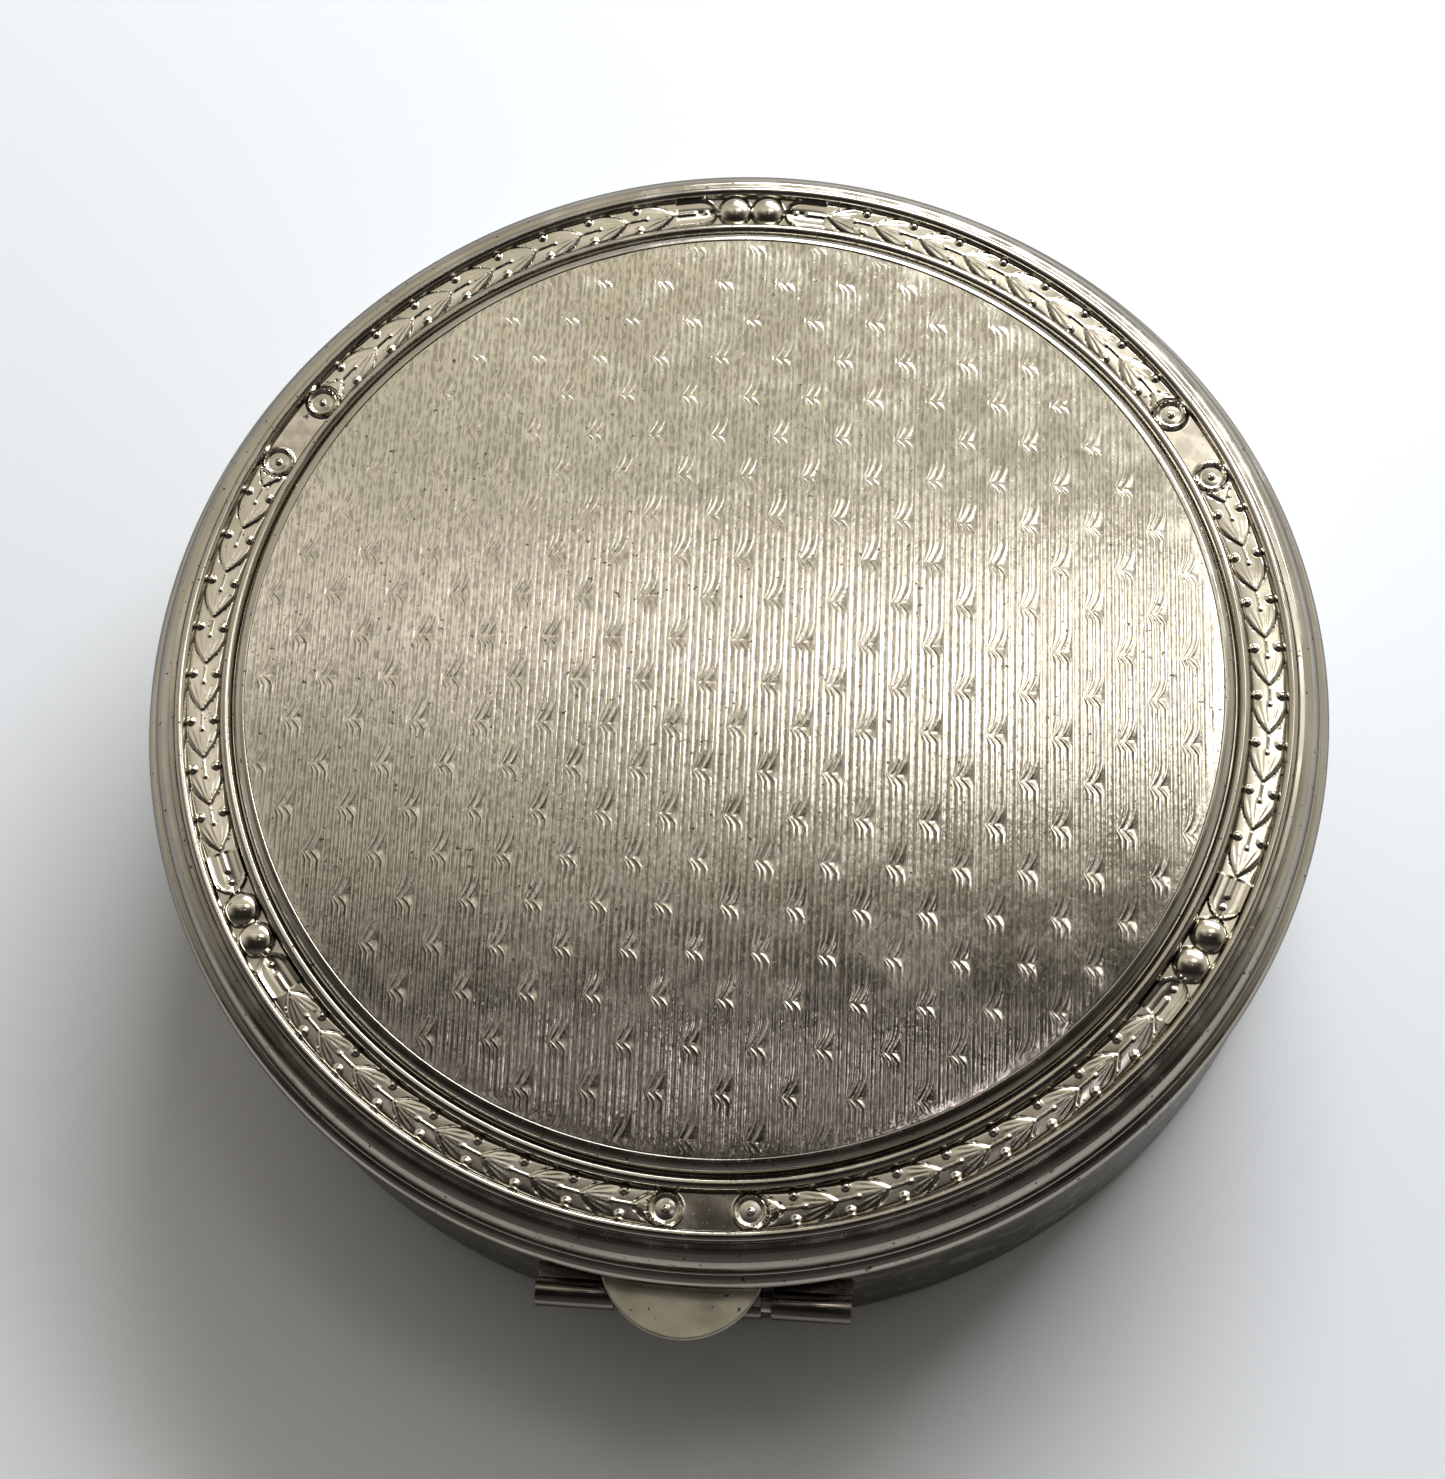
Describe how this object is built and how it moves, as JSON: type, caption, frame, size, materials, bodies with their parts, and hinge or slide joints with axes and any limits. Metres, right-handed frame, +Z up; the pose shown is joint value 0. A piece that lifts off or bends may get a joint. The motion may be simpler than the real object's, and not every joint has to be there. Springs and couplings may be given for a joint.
{
  "type": "pill box",
  "caption": "Round flat pill box of plated metal with an engine-turned lid panel in a laurel border, a rear hinge and a half-round thumb lever at the front.",
  "frame": {"origin": "centre of the flat face that the box rests on, under the middle of the round base", "axes": "+Z up through the lid; -Y towards the thumb lever at the front, +Y towards the lid hinge; +X to the right seen from the front"},
  "size_m": [0.05, 0.0528, 0.0142],
  "materials": {
    "panel_nickel": "engine-turned nickel plate, fine upright grooves with rows of small hooks, worn, dark in the grooves",
    "stamped_nickel": "bright nickel plate over stamped ornament, slightly worn, dark in the recesses",
    "plain_nickel": "plain bright nickel plate with fine scratches",
    "cup_nickel": "clean satin nickel plate",
    "hardware_nickel": "nickel plate dulled by handling",
    "lever_metal": "bare nickel silver, matt and pitted, slightly yellow",
    "pin_steel": "plain drawn wire"
  },
  "bodies": {
    "base": {"base_pan": "plain_nickel", "inner_cup": "cup_nickel", "base_hinge_leaf": "hardware_nickel", "hinge_pin": "pin_steel", "lever_bracket": "hardware_nickel", "lever_pin": "pin_steel"},
    "lid": {"lid_rim": "stamped_nickel", "lid_panel": "panel_nickel", "lid_liner": "cup_nickel", "lid_hinge_leaf": "hardware_nickel"},
    "lever": {"thumb_lever": "lever_metal"}
  },
  "joints": [
    {"name": "lid_hinge", "type": "hinge", "parent": "base", "child": "lid", "pos_m": [0, 0.02535, 0.0085], "axis": [-1, 0, 0], "range_deg": [0, 105]},
    {"name": "lever_pivot", "type": "hinge", "parent": "base", "child": "lever", "pos_m": [0, -0.02525, 0.009], "axis": [1, 0, 0], "range_deg": [0, 15]}
  ]
}
